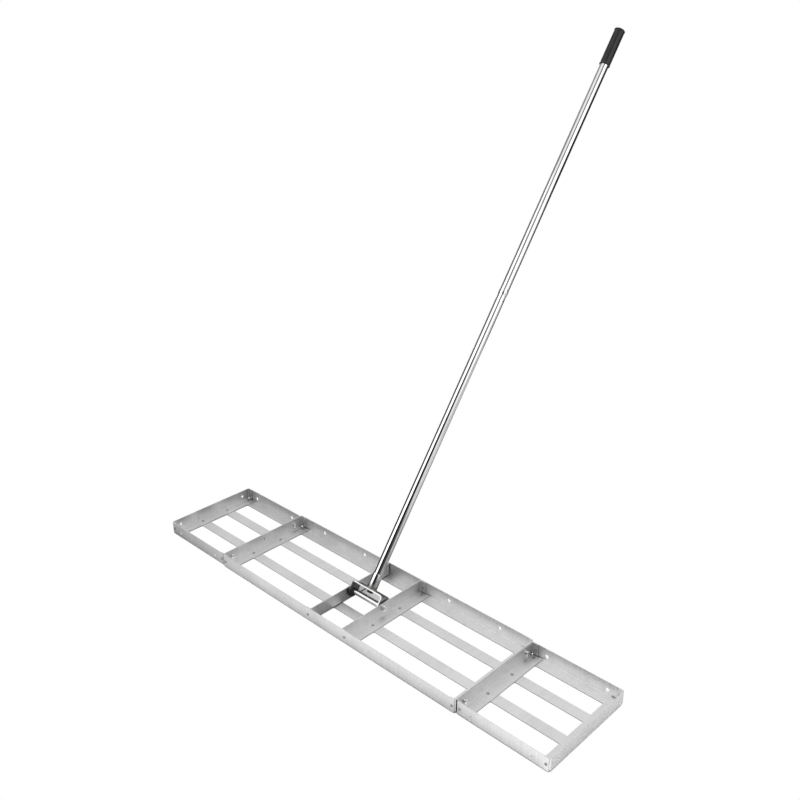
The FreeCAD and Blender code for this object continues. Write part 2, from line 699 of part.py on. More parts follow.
rivet_section("centre", "centre_depth", "centre_slat_offset", [
    (f"-{JOINT}", "+"), ("-pivot_half_gap", "-"), ("pivot_half_gap", "+"), (JOINT, "-")])
rivet_section("left_wing", "wing_depth", "wing_slat_offset", [
    (f"-{OUTER_END}", "+"), (f"-{JOINT}", "-")])
rivet_section("right_wing", "wing_depth", "wing_slat_offset", [
    (OUTER_END, "-"), (JOINT, "+")])
bolt_joint("left", "-")
bolt_joint("right", "")
make_axle()

make_yoke()
sleeve = make_ring("axle_sleeve", "sleeve_radius", "axle_radius + axle_clearance",
                   "2 * (yoke_half_width - yoke_sheet)")
place(keep(sleeve), "yoke_sheet - yoke_half_width", "0", "axle_height", Z_TO_X)
make_pole()
make_grip()
doc.recompute()


# ---- check and write -----------------------------------------------------------------------

for item in doc.Objects:
    if {"Invalid", "Error"} & set(item.State):
        raise RuntimeError(f"{item.Label} did not recompute: {item.State}")
for item in sub_parts:
    if item.Shape.isNull() or not item.Shape.isValid() or not item.Shape.Solids:
        raise RuntimeError(f"{item.Label} has no valid solid")

os.makedirs("parts", exist_ok=True)
for item in sub_parts:
    item.Shape.exportStep(os.path.join("parts", f"{item.Label}.step"))
print(len(sub_parts), "sub-parts written")
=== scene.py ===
import json
from math import atan2, ceil, cos, pi, radians, sin, sqrt, tan

import bmesh
import bpy
from mathutils import Matrix, Vector


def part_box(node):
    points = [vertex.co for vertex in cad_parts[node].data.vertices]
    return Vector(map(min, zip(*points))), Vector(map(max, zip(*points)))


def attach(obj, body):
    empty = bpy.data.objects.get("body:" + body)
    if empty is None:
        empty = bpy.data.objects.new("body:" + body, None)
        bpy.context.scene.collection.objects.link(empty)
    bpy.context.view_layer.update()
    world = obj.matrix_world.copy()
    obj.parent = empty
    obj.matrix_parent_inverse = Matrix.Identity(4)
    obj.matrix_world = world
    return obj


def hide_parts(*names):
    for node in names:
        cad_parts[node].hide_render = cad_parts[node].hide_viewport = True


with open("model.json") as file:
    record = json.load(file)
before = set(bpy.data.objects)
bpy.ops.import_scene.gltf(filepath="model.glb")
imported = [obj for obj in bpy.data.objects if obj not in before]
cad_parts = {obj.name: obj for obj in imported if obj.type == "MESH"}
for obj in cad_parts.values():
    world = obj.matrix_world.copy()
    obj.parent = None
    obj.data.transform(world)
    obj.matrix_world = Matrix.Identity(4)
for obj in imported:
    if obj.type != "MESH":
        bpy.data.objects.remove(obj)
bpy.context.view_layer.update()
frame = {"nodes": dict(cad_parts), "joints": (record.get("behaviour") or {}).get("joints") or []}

# Looks for a lawn levelling rake. Metres, in the CAD frame: +X along the head, +Z up.
MM = 0.001
LOW, HIGH = -1, 1
CAD_SAME_POINT = 1e-6       # corners of a CAD mesh closer than this are one
PIECE_SAME_POINT = 1e-7     # and those of a piece made here
UPSIDE_DOWN = Matrix.Rotation(pi, 4, "X")
nodes = frame["nodes"]
pivot = Vector(frame["joints"][0]["pos_m"])


# ---- places worked out from the frame -------------------------------------------------------

def middle(box):
    low, high = box
    return (low + high) / 2


def face_centre(box, axis, end):
    """The middle of a box's face at the LOW or HIGH end of an axis."""
    place = middle(box)
    place[axis] = box[end == HIGH][axis]
    return place


def pole_matrix():
    """From a frame on the axle with Z along the pole to the CAD frame."""
    along = middle(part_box("handle_grip")) - pivot
    lean_back = atan2(along.y, along.z)
    return Matrix.Translation(pivot) @ Matrix.Rotation(-lean_back, 4, "X")


POLE = pole_matrix()


def pole_span(node, radius):
    """How far from the axle a round piece on the pole starts and ends."""
    low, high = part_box(node)
    along = POLE.to_3x3() @ Vector((0, 0, 1))
    length = ((high.z - low.z) - 2 * radius * along.y) / along.z
    centre = (middle((low, high)) - pivot).dot(along)
    return centre - length / 2, centre + length / 2


def islands(node):
    """Lowest and highest corner of each separate solid of a CAD node, in order of place."""
    mesh = bmesh.new()
    mesh.from_mesh(nodes[node].data)
    bmesh.ops.remove_doubles(mesh, verts=mesh.verts, dist=CAD_SAME_POINT)
    left = set(mesh.verts)
    boxes = []
    while left:
        group, edge_of_group = set(), [left.pop()]
        while edge_of_group:
            vertex = edge_of_group.pop()
            group.add(vertex)
            for edge in vertex.link_edges:
                other = edge.other_vert(vertex)
                if other in left:
                    left.discard(other)
                    edge_of_group.append(other)
        corners = [vertex.co for vertex in group]
        low = Vector(min(c[axis] for c in corners) for axis in range(3))
        high = Vector(max(c[axis] for c in corners) for axis in range(3))
        boxes.append((low, high))
    mesh.free()
    return sorted(boxes, key=lambda box: tuple(box[0]))


def facing(place, direction):
    """A matrix that puts local Z along a direction at a place."""
    turn = Vector((0, 0, 1)).rotation_difference(Vector(direction))
    return Matrix.Translation(place) @ turn.to_matrix().to_4x4()


# ---- mesh making ----------------------------------------------------------------------------

# segments of a full turn
RIVET_SEGMENTS, SHANK_SEGMENTS, WASHER_SEGMENTS, HEXAGON_SEGMENTS = 28, 32, 64, 72
POLE_SEGMENTS, GRIP_SEGMENTS, WELD_SEGMENTS, FLOOR_SEGMENTS = 96, 144, 272, 64


def ring(segments, shape):
    """Points round Z, from a function that gives radius and height at each share of a turn."""
    points = []
    for step in range(segments):
        turn = step / segments
        radius, height = shape(turn)
        points.append((radius * cos(2 * pi * turn), radius * sin(2 * pi * turn), height))
    return points


def circle(segments, radius, height):
    return ring(segments, lambda turn: (radius, height))


def ring_grid(rings):
    """Vertices and faces that join equal rings of points, one after the other."""
    count = len(rings[0])
    vertices = [point for points in rings for point in points]
    faces = []
    for row in range(len(rings) - 1):
        start, above = row * count, (row + 1) * count
        for index in range(count):
            following = (index + 1) % count
            faces.append((start + index, start + following, above + following, above + index))
    return vertices, faces


def merge(parts):
    """One list of vertices and one of faces from several."""
    vertices, faces = [], []
    for part_vertices, part_faces in parts:
        offset = len(vertices)
        vertices += part_vertices
        faces += [tuple(index + offset for index in face) for face in part_faces]
    return vertices, faces


def moved(part, matrix):
    vertices, faces = part
    return [matrix @ Vector(vertex) for vertex in vertices], faces


def turned(outline, segments, loop=True):
    """An outline of (radius, height) points, closed on itself or not, turned about Z."""
    if loop:
        outline = outline + outline[:1]
    return ring_grid([circle(segments, radius, height) for radius, height in outline])


def arc(centre_radius, centre_height, radius, start, end, steps):
    """Points of a round stretch of an outline, angles in degrees from outward."""
    points = []
    for step in range(steps + 1):
        angle = radians(start + (end - start) * step / steps)
        points.append((centre_radius + radius * cos(angle), centre_height + radius * sin(angle)))
    return points


def make_piece(name, part, body, material, stands_for=(), sharp_angle=35):
    """An object from vertices and faces, riding on a CAD body in place of its CAD nodes."""
    vertices, faces = part
    mesh = bpy.data.meshes.new(name)
    mesh.from_pydata([tuple(vertex) for vertex in vertices], [], faces)
    editable = bmesh.new()
    editable.from_mesh(mesh)
    bmesh.ops.remove_doubles(editable, verts=editable.verts, dist=PIECE_SAME_POINT)
    bmesh.ops.dissolve_degenerate(editable, edges=editable.edges, dist=PIECE_SAME_POINT)
    bmesh.ops.recalc_face_normals(editable, faces=editable.faces)
    editable.to_mesh(mesh)
    editable.free()
    mesh.shade_smooth()
    mesh.set_sharp_from_angle(angle=radians(sharp_angle))
    mesh.materials.append(material)
    piece = bpy.data.objects.new(name, mesh)
    bpy.context.scene.collection.objects.link(piece)
    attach(piece, body)
    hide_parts(*stands_for)


def make_set(node, material, make_one):
    """One piece for the separate solids of a CAD node on the head, each made from its own box."""
    parts = [make_one(box) for box in islands(node)]
    make_piece(f"{node}_set", merge(parts), "head", material, [node])


# ---- materials ------------------------------------------------------------------------------

def grey(level, warmth=0.0):
    return (level * (1 + warmth), level, level * (1 - warmth))


class Graph:
    """A node tree with a few short ways to add to it."""

    def __init__(self, owner):
        owner.use_nodes = True
        self.tree = owner.node_tree

    def link(self, output, node_input):
        self.tree.links.new(output, node_input)

    def feed(self, item, node_input):
        """Links an output, or sets a plain number."""
        if isinstance(item, (int, float)):
            node_input.default_value = item
        else:
            self.link(item, node_input)

    def separate(self, vector):
        node = self.tree.nodes.new("ShaderNodeSeparateXYZ")
        self.link(vector, node.inputs["Vector"])
        return node.outputs

    def spread(self, value, low, high, from_low=0.3, from_high=0.7, smooth=False):
        """The value stretched from its own range to a new one."""
        node = self.tree.nodes.new("ShaderNodeMapRange")
        if smooth:
            node.interpolation_type = "SMOOTHSTEP"
        node.inputs["From Min"].default_value = from_low
        node.inputs["From Max"].default_value = from_high
        node.inputs["To Min"].default_value = low
        node.inputs["To Max"].default_value = high
        self.link(value, node.inputs["Value"])
        return node.outputs["Result"]

    def rise(self, value, start, end, smooth=False):
        """Nothing before the start, one past the end."""
        return self.spread(value, 0.0, 1.0, start, end, smooth)

    def fall(self, value, start, end, smooth=False):
        """One before the start, nothing past the end."""
        return self.spread(value, 1.0, 0.0, start, end, smooth)

    def combine(self, operation, first, second):
        node = self.tree.nodes.new("ShaderNodeMath")
        node.operation = operation
        self.feed(first, node.inputs[0])
        self.feed(second, node.inputs[1])
        return node.outputs["Value"]

    def product(self, shares):
        result = shares[0]
        for share in shares[1:]:
            result = self.combine("MULTIPLY", result, share)
        return result

    def ramp(self, value, stops):
        node = self.tree.nodes.new("ShaderNodeValToRGB")
        elements = node.color_ramp.elements
        while len(elements) < len(stops):
            elements.new(0.5)
        for element, (place, colour) in zip(elements, stops):
            element.position = place
            element.color = (*colour, 1)
        self.link(value, node.inputs["Fac"])
        return node.outputs["Color"]

    def greys(self, value, stops):
        return self.ramp(value, [(place, grey(level)) for place, level in stops])

    def tones(self, value, dark, light, reach=0.15):
        """From a dark to a light grey over a reach on both sides of a noise's middle."""
        return self.greys(value, [(0.5 - reach, dark), (0.5 + reach, light)])

    def mix(self, share, first, second, blend="MIX"):
        node = self.tree.nodes.new("ShaderNodeMix")
        node.data_type = "RGBA"
        node.blend_type = blend
        self.feed(share, node.inputs["Factor"])
        self.link(first, node.inputs[6])    # A, as a colour
        self.link(second, node.inputs[7])   # B, as a colour
        return node.outputs[2]              # Result, as a colour

    def multiply(self, first, second):
        return self.mix(1.0, first, second, blend="MULTIPLY")


class Shader(Graph):
    """A Principled material with procedural detail in object coordinates."""

    def __init__(self, name, metallic, roughness, **settings):
        self.material = bpy.data.materials.new(name)
        super().__init__(self.material)
        self.surface = self.tree.nodes["Principled BSDF"]
        self.surface.inputs["Metallic"].default_value = metallic
        self.surface.inputs["Roughness"].default_value = roughness
        for socket, number in settings.items():
            self.surface.inputs[socket.replace("_", " ")].default_value = number
        self.coordinates = self.tree.nodes.new("ShaderNodeTexCoord").outputs["Object"]

    def noise(self, scale, detail=2.0):
        """Noise in cycles per metre: one number, or one for each axis."""
        mapping = self.tree.nodes.new("ShaderNodeMapping")
        mapping.inputs["Scale"].default_value = scale if isinstance(scale, tuple) else (scale,) * 3
        self.link(self.coordinates, mapping.inputs["Vector"])
        texture = self.tree.nodes.new("ShaderNodeTexNoise")
        texture.inputs["Scale"].default_value = 1.0
        texture.inputs["Detail"].default_value = detail
        self.link(mapping.outputs["Vector"], texture.inputs["Vector"])
        return texture.outputs["Fac"]

    def painted_crevice_shade(self, reach, darkest, closed=0.3, clear=0.75):
        """Painted shade: a grey that is white in the open and dark in corners and along contact
        lines, where shade falls.
        """
        node = self.tree.nodes.new("ShaderNodeAmbientOcclusion")
        node.samples = 8
        node.inputs["Distance"].default_value = reach
        return self.greys(node.outputs["AO"], [(closed, darkest), (clear, 1.0)])

    def distance_from(self, centre, reach):
        """Distance from a place in units of a reach, a little uneven."""
        mapping = self.tree.nodes.new("ShaderNodeMapping")
        mapping.vector_type = "TEXTURE"
        mapping.inputs["Location"].default_value = centre
        mapping.inputs["Scale"].default_value = (reach, reach, reach)
        self.link(self.coordinates, mapping.inputs["Vector"])
        length = self.tree.nodes.new("ShaderNodeVectorMath")
        length.operation = "LENGTH"
        self.link(mapping.outputs["Vector"], length.inputs[0])
        cloud = self.noise(90, detail=3.0)
        return self.combine("ADD", length.outputs["Value"], self.spread(cloud, -0.1, 0.1))

    def heat_tint(self, centre, reach, light, grain):
        """Steel that goes from dark at a weld to its own light grey at a reach."""
        distance = self.distance_from(centre, reach)
        tint = self.ramp(distance, [
            (0.42, grey(0.07, 0.04)), (0.58, (0.13, 0.125, 0.13)), (0.72, (0.22, 0.21, 0.2)),
            (1.0, grey(light))])
        metal = self.tones(grain, light * 0.7, light * 1.2, reach=0.2)
        return self.mix(self.spread(distance, 0.7, 0.0, 0.6, 1.0), metal, tint)

    def squareness(self, direction):
        """One where the surface faces along a direction or against it, nothing where level."""
        dot = self.tree.nodes.new("ShaderNodeVectorMath")
        dot.operation = "DOT_PRODUCT"
        dot.inputs[1].default_value = direction
        normal = self.tree.nodes.new("ShaderNodeTexCoord").outputs["Normal"]
        self.link(normal, dot.inputs[0])
        return self.combine("ABSOLUTE", dot.outputs["Value"], 0)

    def colour(self, output):
        self.link(output, self.surface.inputs["Base Color"])

    def roughness(self, output):
        self.link(output, self.surface.inputs["Roughness"])

    def bump(self, height, strength, distance):
        node = self.tree.nodes.new("ShaderNodeBump")
        node.inputs["Strength"].default_value = strength
        node.inputs["Distance"].default_value = distance
        self.link(height, node.inputs["Height"])
        self.link(node.outputs["Normal"], self.surface.inputs["Normal"])


def brushed_sheet(name, along_x, light):
    """Sheet brushed across the strip: fine lines follow each other along its length."""
    shader = Shader(name, metallic=1.0, roughness=0.45)

    def across(lines, drift):
        return (lines, drift, drift) if along_x else (drift, lines, drift)

    fine = shader.noise(across(1500, 35), detail=1.0)
    streaks = shader.noise(across(450, 10))
    cloud = shader.noise(9, detail=3.0)
    tone = shader.combine("ADD", shader.spread(fine, -0.03, 0.03),
                          shader.spread(streaks, -0.06, 0.06))
    tone = shader.combine("ADD", tone, shader.spread(cloud, -0.08, 0.08))
    tone = shader.combine("ADD", tone, 0.5)
    metal = shader.greys(tone, [(0.3, light - 0.13), (0.5, light), (0.7, light + 0.09)])
    # painted shade: the sheet's colour darkens in corners and along contact lines
    shader.colour(shader.multiply(metal, shader.painted_crevice_shade(5 * MM, darkest=0.15)))
    fine_and_cloud = shader.combine("ADD", fine, cloud)
    shader.roughness(shader.spread(fine_and_cloud, 0.38, 0.5, from_low=0.7, from_high=1.3))
    shader.bump(fine, strength=0.2, distance=0.03 * MM)
    return shader.material


def rivet_steel():
    """Dull steel, with painted shade that makes it nearly black where a rivet meets the sheet."""
    shader = Shader("rivet_steel", metallic=1.0, roughness=0.42)
    cloud = shader.noise(420)
    # painted shade: nearly black where a rivet head meets the sheet
    painted_shade_around_head = shader.painted_crevice_shade(2.4 * MM, darkest=0.02, closed=0.35, clear=0.6)
    shader.colour(shader.multiply(shader.tones(cloud, 0.36, 0.5), painted_shade_around_head))
    shader.roughness(shader.spread(cloud, 0.35, 0.5))
    shader.bump(cloud, strength=0.2, distance=0.1 * MM)
    return shader.material


def zinc_steel():
    """Bright zinc on bolts, nuts and washers, a little uneven, with painted shade in corners."""
    shader = Shader("zinc_steel", metallic=1.0, roughness=0.22)
    cloud = shader.noise(160, detail=3.0)
    grain = shader.noise(1500, detail=1.0)
    # painted shade: darker in corners and where parts meet
    shader.colour(shader.multiply(shader.tones(cloud, 0.8, 0.93),
                                  shader.painted_crevice_shade(2.5 * MM, darkest=0.12)))
    shader.roughness(shader.spread(grain, 0.12, 0.24))
    shader.bump(grain, strength=0.08, distance=0.05 * MM)
    return shader.material


def painted_shade_bolt_steel():
    """Steel painted near black as shade, for the bolt under the yoke's web, which sits in shadow.
    """
    shader = Shader("painted_shade_bolt_steel", metallic=1.0, roughness=0.4)
    cloud = shader.noise(250, detail=3.0)
    # painted shade: the bolt's colour is near black
    shader.colour(shader.tones(cloud, 0.05, 0.11))
    shader.roughness(shader.spread(cloud, 0.3, 0.5))
    shader.bump(cloud, strength=0.15, distance=0.08 * MM)
    return shader.material


GRAIN_ALONG_POLE = (500, 70, 500)


def weld_bead_steel(centre):
    """Bare steel, darkened and speckled by the weld's heat, with painted shade in its hollows."""
    shader = Shader("weld_steel", metallic=1.0, roughness=0.34)
    grain = shader.noise(GRAIN_ALONG_POLE)
    tint = shader.heat_tint(centre, 20 * MM, 0.4, grain)
    # painted shade in the ripples and where the bead meets the web and socket
    shader.colour(shader.multiply(tint, shader.painted_crevice_shade(5 * MM, darkest=0.2)))
    shader.roughness(shader.spread(grain, 0.26, 0.42))
    shader.bump(grain, strength=0.15, distance=0.1 * MM)
    return shader.material


def folded_yoke(centre, along_pole, across_web):
    """The yoke: its web speckled by heat, its left ear darkened by painted shade, its cut edges
    right of the left ear given a painted highlight, and painted shade in its corners.
    """
    light = 0.5
    shader = Shader("yoke_steel", metallic=1.0, roughness=0.34)
    x = shader.separate(shader.coordinates)["X"]
    grain = shader.noise(GRAIN_ALONG_POLE)
    speckle = shader.noise(700, detail=3.0)
    skin = shader.tones(grain, light - 0.12, light + 0.08, reach=0.2)

    web = shader.rise(shader.squareness(along_pole), 0.75, 0.9)
    skin = shader.mix(web, skin, shader.heat_tint(centre, 75 * MM, 0.3, speckle))

    # painted shade: the left ear is made near black
    shaded_left_ear = shader.fall(x, -43 * MM, -41 * MM)
    skin = shader.mix(shaded_left_ear, skin, shader.tones(speckle, 0.07, 0.15))

    # painted highlight: cut edges right of the left ear are made near white
    cut_edge = shader.rise(shader.squareness(across_web), 0.85, 0.95)
    right_of_left_ear = shader.rise(x, -45 * MM, -42 * MM)
    painted_edge_highlight = shader.tones(grain, 0.88, 0.97, reach=0.2)
    skin = shader.mix(shader.product([cut_edge, right_of_left_ear]), skin, painted_edge_highlight)

    # painted shade in the yoke's corners
    shader.colour(shader.multiply(skin, shader.painted_crevice_shade(5 * MM, darkest=0.25)))
    shader.roughness(shader.spread(grain, 0.26, 0.42))
    shader.bump(speckle, strength=0.12, distance=0.08 * MM)
    return shader.material


def polished_socket(foot):
    """Polished steel tube with a dull heat mark just above its weld."""
    shader = Shader("socket_steel", metallic=1.0, roughness=0.1)
    distance = shader.distance_from(foot, 24 * MM)
    shader.colour(shader.ramp(distance, [
        (0.55, grey(0.25, 0.02)), (0.68, grey(0.5, 0.02)), (0.85, grey(0.74)), (1.0, grey(0.82))]))
    shader.roughness(shader.spread(distance, 0.4, 0.1, from_low=0.55, from_high=0.9))
    return shader.material


def chromed_tube():
    """Bright plating, very slightly uneven."""
    shader = Shader("chromed_tube", metallic=1.0, roughness=0.05)
    shader.colour(shader.tones(shader.noise(25), 0.8, 0.88))
    haze = shader.noise(90, detail=3.0)
    shader.roughness(shader.spread(haze, 0.03, 0.09))
    return shader.material


def black_rubber():
    """Moulded rubber with a fine speckle."""
    shader = Shader("black_rubber", metallic=0.0, roughness=0.6, Specular_IOR_Level=0.5)
    speckle = shader.noise(900, detail=3.0)
    dye = shader.tones(shader.noise(40), 0.006, 0.012)
    # painted shade between the ribs and at the rims
    shader.colour(shader.multiply(dye, shader.painted_crevice_shade(1.5 * MM, darkest=0.35)))
    shader.roughness(shader.spread(speckle, 0.32, 0.45))
    shader.bump(speckle, strength=0.12, distance=0.1 * MM)
    return shader.material


def nylon():
    """The off-white ring of the locking nut."""
    shader = Shader("nylon", metallic=0.0, roughness=0.45)
    cloud = shader.noise(300)
    shader.colour(shader.ramp(cloud, [(0.35, (0.6, 0.6, 0.58)), (0.65, (0.74, 0.74, 0.72))]))
    shader.bump(cloud, strength=0.1, distance=0.1 * MM)
    return shader.material


# ---- fasteners ------------------------------------------------------------------------------

M6 = {"flats": 10 * MM, "head_height": 4 * MM, "radius": 3 * MM, "pitch": 1 * MM}
M8 = {"flats": 13 * MM, "head_height": 5.3 * MM, "radius": 4 * MM, "pitch": 1.25 * MM}
M6_WASHER_BORE = 3.25 * MM      # bores are given as radii
M8_WASHER_BORE = 4.2 * MM
NUT_BORE_SHARE = 1.01           # of the thread's radius
JOINT_PLAIN_SHARE = 0.3         # of a joint bolt's length
AXLE_THREAD = 22 * MM


def hexagon(flats, height, bore=0.0, both_ends=False):
    """A hex head or nut from z = 0 up, its corners cut by a 30 degree cone."""
    half = flats / 2
    face_radius = half * 0.95

    def corner(turn):
        """Radius of the hexagon, and how far the cone cuts down from the face there."""
        off_flat = (2 * pi * turn + pi / 6) % (pi / 3) - pi / 6
        radius = half / cos(off_flat)
        return radius, (radius - face_radius) * tan(radians(30))

    def under(turn):
        radius, cut = corner(turn)
        return radius, cut if both_ends else 0.0

    def over(turn):
        radius, cut = corner(turn)
        return radius, height - cut

    rings = [
        circle(HEXAGON_SEGMENTS, bore, 0.0),
        circle(HEXAGON_SEGMENTS, face_radius, 0.0),
        ring(HEXAGON_SEGMENTS, under),
        ring(HEXAGON_SEGMENTS, over),
        circle(HEXAGON_SEGMENTS, face_radius, height),
        circle(HEXAGON_SEGMENTS, bore, height)]
    if bore:
        rings.append(rings[0])
    return ring_grid(rings)


def threaded(radius, pitch, start, end):
    """A screw thread along Z from start to end, with its last turn run out to a point."""
    rows_per_turn = 8
    crest = 0.12
    depth = pitch * 0.5
    rows = ceil((end - start) / (pitch / rows_per_turn))

    def wall(height, turn):
        run_out = 1 - min(1.0, (end - height) / pitch)
        groove = 1 - abs(2 * ((height / pitch - turn) % 1.0) - 1)
        return radius - depth * max(groove - crest, 0) - depth * run_out, height

    rings = [circle(SHANK_SEGMENTS, 0, start)]
    for row in range(rows + 1):
        height = start + (end - start) * row / rows
        rings.append(ring(SHANK_SEGMENTS, lambda turn: wall(height, turn)))
    rings.append(circle(SHANK_SEGMENTS, 0, end))
    return ring_grid(rings)


def bolt(size, length, plain):
    """Head from z = 0 up, shank down: a plain length and then thread."""
    radius = size["radius"]
    head = hexagon(size["flats"], size["head_height"])
    shank = turned([(0, 0), (radius, 0), (radius, -plain), (0, -plain)], SHANK_SEGMENTS,
                   loop=False)
    thread = moved(threaded(radius, size["pitch"], plain, length), UPSIDE_DOWN)
    return merge([head, shank, thread])


def bolt_seat(box, size):
    """For a bolt along X in a box: the place under its head and the length from there."""
    seat = face_centre(box, 0, HIGH)
    seat.x -= size["head_height"]
    return seat, seat.x - box[0].x


def washer(outer, inner, thickness):
    """A stamped washer from z = 0 up, its upper outer edge the roundest."""
    edge = thickness * 0.3
    return turned([
        (inner, 0), (outer - edge * 0.3, 0), (outer, edge * 0.3), (outer, thickness - edge),
        (outer - edge * 0.3, thickness - edge * 0.3), (outer - edge, thickness),
        (inner + edge * 0.5, thickness), (inner, thickness - edge * 0.5)], WASHER_SEGMENTS)


def washer_in(box, bore, outward=1):
    """A washer that fills a box and faces outward along X."""
    low, high = box
    shape = washer((high.y - low.y) / 2, bore, high.x - low.x)
    return moved(shape, facing(face_centre(box, 0, -outward), (outward, 0, 0)))


RIVET_HEAD_RADIUS = 3.6 * MM
RIVET_HEAD_HEIGHT = 1.0 * MM
RIVET_GRIP = 3.0 * MM
RIVET_SHANK_RADIUS = 2.0 * MM
RIVET_TAIL_RADIUS = 2.9 * MM
RIVET_TAIL_LENGTH = 2.2 * MM


def rivet(tail):
    """A blind rivet along Z: domed head above z = RIVET_GRIP, and a tail below or a flush end."""
    mandrel = RIVET_HEAD_RADIUS / 3
    dome_start = mandrel * 1.15
    dome_steps = 5
    rim = RIVET_HEAD_HEIGHT * 0.28
    stub = RIVET_GRIP - RIVET_HEAD_HEIGHT
    outline = [(0, stub), (mandrel * 0.85, stub), (mandrel, stub + RIVET_HEAD_HEIGHT * 0.1),
               (mandrel, RIVET_GRIP + RIVET_HEAD_HEIGHT * 0.85)]
    for step in range(dome_steps + 1):
        share = step / dome_steps
        rise = (RIVET_HEAD_HEIGHT - rim) * sqrt(1 - share * share * 0.98)
        outline.append((dome_start + (RIVET_HEAD_RADIUS - dome_start) * share,
                        RIVET_GRIP + rim + rise))
    outline += [(RIVET_HEAD_RADIUS, RIVET_GRIP + rim * 0.6), (RIVET_HEAD_RADIUS * 0.97, RIVET_GRIP),
                (RIVET_SHANK_RADIUS, RIVET_GRIP), (RIVET_SHANK_RADIUS, 0)]
    if tail:
        bulge = RIVET_TAIL_LENGTH / 2
        outline.append((RIVET_TAIL_RADIUS * 0.85, 0))
        outline += arc(RIVET_TAIL_RADIUS * 0.72, -bulge, bulge * 0.8, 60, -75, 6)
        outline += [(RIVET_TAIL_RADIUS * 0.5, -RIVET_TAIL_LENGTH), (0, -RIVET_TAIL_LENGTH)]
    else:
        outline.append((0, 0))
    return turned(outline, RIVET_SEGMENTS, loop=False)


def make_rivets(section, material):
    """The flush rivets of slats and corners, and the blind ones of the end tabs."""
    flush, blind = rivet(tail=False), rivet(tail=True)

    def flush_rivet(box):
        return moved(flush, Matrix.Translation(face_centre(box, 2, LOW)))

    def blind_rivet(box):
        outward = 1 if box[0].y > 0 else -1
        foot = face_centre(box, 1, outward)
        foot.y -= outward * (RIVET_HEAD_HEIGHT + RIVET_GRIP)
        return moved(blind, facing(foot, (0, outward, 0)))

    for kind, make_one in (("slat", flush_rivet), ("corner", flush_rivet), ("tab", blind_rivet)):
        make_set(f"{section}_{kind}_rivets", material, make_one)


def make_joint_fasteners(side, material):
    """The bolts, washers and nuts that hold a wing to the centre section."""
    def joint_bolt(box):
        seat, length = bolt_seat(box, M6)
        return moved(bolt(M6, length, plain=length * JOINT_PLAIN_SHARE), facing(seat, (1, 0, 0)))

    def joint_washer(box):
        return washer_in(box, M6_WASHER_BORE)

    def joint_nut(box):
        low, high = box
        shape = hexagon(M6["flats"], high.x - low.x, M6["radius"] * NUT_BORE_SHARE, both_ends=True)
        return moved(shape, facing(face_centre(box, 0, LOW), (1, 0, 0)))

    for kind, make_one in (("bolts", joint_bolt), ("washers", joint_washer), ("nuts", joint_nut)):
        make_set(f"{side}_joint_{kind}", material, make_one)


def make_locking_nut(zinc, plastic):
    """The axle's nut: a hexagon, a round crown with a rolled edge, and a nylon ring inside it."""
    low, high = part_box("axle_nut")
    place = facing(face_centre((low, high), 0, HIGH), (-1, 0, 0))
    thickness = high.x - low.x
    hex_height = thickness * 0.76
    bore = M8["radius"] * NUT_BORE_SHARE
    body = hexagon(M8["flats"], hex_height, bore)

    crown_radius = M8["flats"] / 2 * 0.88
    crown_bore = crown_radius - 1.2 * MM
    edge = 0.5 * MM
    crown = turned([
        (crown_radius, hex_height), (crown_radius, thickness - edge)]
        + arc(crown_radius - edge, thickness - edge, edge, 0, 90, 4)
        + [(crown_bore, thickness), (crown_bore, hex_height)], WASHER_SEGMENTS)
    make_piece("axle_nut_shell", moved(merge([body, crown]), place), "head",
               zinc, ["axle_nut"])

    top = thickness - 0.25 * MM
    bevel = 0.4 * MM
    insert = turned([
        (bore, hex_height), (crown_bore, hex_height), (crown_bore, top), (bore + bevel, top),
        (bore, top - bevel)], WASHER_SEGMENTS)
    make_piece("axle_nut_nylon_ring", moved(insert, place), "head", plastic)


def make_axle(zinc, plastic):
    """The axle bolt, its locking nut and its washers."""
    seat, length = bolt_seat(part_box("axle_bolt"), M8)
    shape = bolt(M8, length, plain=length - AXLE_THREAD)
    make_piece("axle_bolt_threaded", moved(shape, facing(seat, (1, 0, 0))), "head",
               zinc, ["axle_bolt"])
    make_locking_nut(zinc, plastic)

    def axle_washer(box):
        return washer_in(box, M8_WASHER_BORE, outward=1 if box[0].x > 0 else -1)

    for kind in ("outer", "spacer"):
        make_set(f"axle_{kind}_washers", zinc, axle_washer)


# ---- the pole and what holds it -------------------------------------------------------------

SOCKET_RADIUS = 12.7 * MM
SOCKET_BORE = 11.1 * MM
SOCKET_FOOT = 24.5 * MM         # along the pole from the axle
WELD_LEG = 2.2 * MM
TUBE_RADIUS = 11 * MM
TUBE_WALL = 1.2 * MM
SWAGE_RADIUS = 10.7 * MM
BELL_RADIUS = 11.4 * MM
FORMED_LENGTH = 14 * MM
GRIP_RIM_RADIUS = 13.8 * MM
GRIP_RADIUS = 13.0 * MM
SLEEVE_BORE = 4.05 * MM
SOCKET_WASHER_RADIUS = 8 * MM
SOCKET_BOLT_LENGTH = 24 * MM
SOCKET_BOLT_PLAIN = 2 * MM


def make_socket(steel):
    """The tube on the yoke's web, its upper edges rounded."""
    start, end = pole_span("handle_socket", SOCKET_RADIUS)
    soft = 0.4 * MM
    shape = turned([
        (SOCKET_BORE, start), (SOCKET_RADIUS, start), (SOCKET_RADIUS, end - soft)]
        + arc(SOCKET_RADIUS - soft, end - soft, soft, 15, 75, 3)
        + [(SOCKET_RADIUS - soft, end), (SOCKET_BORE + soft, end), (SOCKET_BORE, end - soft)],
        POLE_SEGMENTS)
    make_piece("socket_tube", moved(shape, POLE), "handle", steel, ["handle_socket"])


